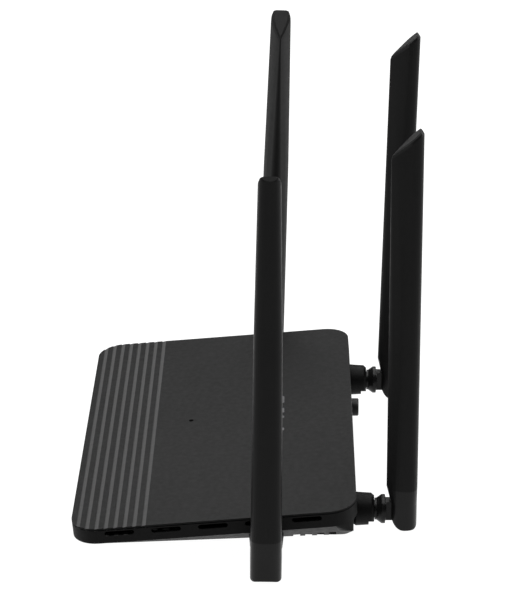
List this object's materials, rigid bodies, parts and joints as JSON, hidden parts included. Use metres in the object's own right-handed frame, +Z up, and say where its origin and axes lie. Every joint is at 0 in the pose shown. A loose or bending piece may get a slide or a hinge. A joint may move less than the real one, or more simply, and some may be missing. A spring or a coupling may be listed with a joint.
{
  "type": "wireless router",
  "caption": "Low wedge-shaped wireless router with a ribbed top plate, folding blade antennas on the back and both sides, rear network sockets, power inlet and push button.",
  "frame": {"origin": "centre of the bounding box's bottom face at rest, on the plane of the feet", "axes": "+X to the right seen from the ribbed front, +Y from the ribbed front to the socket wall, +Z up"},
  "size_m": [0.2274, 0.1528, 0.186],
  "materials": {
    "cover_black": "fine matte texture",
    "belly_black": "fine matte texture",
    "window_grey": "translucent",
    "dot_black": "satin",
    "rubber_black": "matt",
    "screw_steel": "zinc plated",
    "board_green": "solder mask",
    "port_blue": "moulded",
    "port_black": "moulded",
    "gold": "gold plated",
    "tin": "plated",
    "switch_white": "moulded",
    "chip_black": "moulded",
    "pad_grey": "soft",
    "sink_aluminium": "extruded",
    "can_tin": "tinned",
    "sleeve_blue": "shrink sleeve",
    "ferrite": "ferrite",
    "led_white": "clear",
    "guide_clear": "clear",
    "cable_black": "jacket",
    "label_silver": "blank film",
    "button_black": "satin",
    "plunger_red": "moulded",
    "antenna_black": "fine texture",
    "clip_steel": "spring steel",
    "copper": "bare"
  },
  "bodies": {
    "casing": {"top_cover": "cover_black", "bottom_cover": "belly_black", "status_windows": "window_grey", "indicator_dot": "dot_black", "rubber_feet": "rubber_black", "case_screws": "screw_steel", "board_screws": "screw_steel", "main_board": "board_green", "wan_port": "port_blue", "lan_ports": "port_black", "port_contacts": "gold", "dc_jack": "port_black", "dc_pin": "tin", "power_switch": "switch_white", "reset_switch": "port_black", "processor": "chip_black", "thermal_pad": "pad_grey", "heat_sink": "sink_aluminium", "shield_cans": "can_tin", "memory_chip": "chip_black", "flash_chip": "chip_black", "crystal": "can_tin", "magnetics": "chip_black", "capacitors": "sleeve_blue", "inductor": "ferrite", "status_leds": "led_white", "light_guide": "guide_clear", "coax_leads": "cable_black", "rating_label": "label_silver"},
    "power_button": {"power_button": "button_black"},
    "reset_plunger": {"reset_plunger": "plunger_red"},
    "neck_rear_right": {"swivel_neck_rear_right": "antenna_black", "retaining_clip_rear_right": "clip_steel"},
    "antenna_rear_right": {"fold_pin_rear_right": "clip_steel", "antenna_base_rear_right": "antenna_black", "antenna_blade_rear_right": "antenna_black", "radiator_rear_right": "copper"},
    "neck_rear_left": {"swivel_neck_rear_left": "antenna_black", "retaining_clip_rear_left": "clip_steel"},
    "antenna_rear_left": {"fold_pin_rear_left": "clip_steel", "antenna_base_rear_left": "antenna_black", "antenna_blade_rear_left": "antenna_black", "radiator_rear_left": "copper"},
    "neck_side_right": {"swivel_neck_side_right": "antenna_black", "retaining_clip_side_right": "clip_steel"},
    "antenna_side_right": {"fold_pin_side_right": "clip_steel", "antenna_base_side_right": "antenna_black", "antenna_blade_side_right": "antenna_black", "radiator_side_right": "copper"},
    "neck_side_left": {"swivel_neck_side_left": "antenna_black", "retaining_clip_side_left": "clip_steel"},
    "antenna_side_left": {"fold_pin_side_left": "clip_steel", "antenna_base_side_left": "antenna_black", "antenna_blade_side_left": "antenna_black", "radiator_side_left": "copper"}
  },
  "joints": [
    {"name": "power_push", "type": "slide", "parent": "casing", "child": "power_button", "axis": [0, -1, 0], "range_m": [0, 0.002], "stiffness_N_per_m": 900, "springref_m": -0.0008},
    {"name": "reset_push", "type": "slide", "parent": "casing", "child": "reset_plunger", "axis": [0, -1, 0], "range_m": [0, 0.00025], "stiffness_N_per_m": 3000, "springref_m": -0.0002},
    {"name": "swivel_rear_right", "type": "hinge", "parent": "casing", "child": "neck_rear_right", "pos_m": [0.066, 0.06695, 0.0115], "axis": [0, 1, 0], "range_deg": [-20, 90]},
    {"name": "fold_rear_right", "type": "hinge", "parent": "neck_rear_right", "child": "antenna_rear_right", "pos_m": [0.066, 0.06695, 0.0115], "axis": [-1, 0, 0], "range_deg": [-0.2, 90.3]},
    {"name": "swivel_rear_left", "type": "hinge", "parent": "casing", "child": "neck_rear_left", "pos_m": [-0.066, 0.06695, 0.0115], "axis": [0, -1, 0], "range_deg": [-20, 90]},
    {"name": "fold_rear_left", "type": "hinge", "parent": "neck_rear_left", "child": "antenna_rear_left", "pos_m": [-0.066, 0.06695, 0.0115], "axis": [-1, 0, 0], "range_deg": [-1.7, 88.8]},
    {"name": "swivel_side_right", "type": "hinge", "parent": "casing", "child": "neck_side_right", "pos_m": [0.1079, 0.00735, 0.0085], "axis": [1, 0, 0], "range_deg": [-89.5, 90.5]},
    {"name": "fold_side_right", "type": "hinge", "parent": "neck_side_right", "child": "antenna_side_right", "pos_m": [0.1079, 0.00735, 0.0085], "axis": [0, 1, -0.0087], "range_deg": [-0.5, 90]},
    {"name": "swivel_side_left", "type": "hinge", "parent": "casing", "child": "neck_side_left", "pos_m": [-0.1079, 0.00735, 0.0085], "axis": [1, 0, 0], "range_deg": [-88.3, 91.7]},
    {"name": "fold_side_left", "type": "hinge", "parent": "neck_side_left", "child": "antenna_side_left", "pos_m": [-0.1079, 0.00735, 0.0085], "axis": [0, -0.9996, 0.0297], "range_deg": [-0.5, 90]}
  ]
}
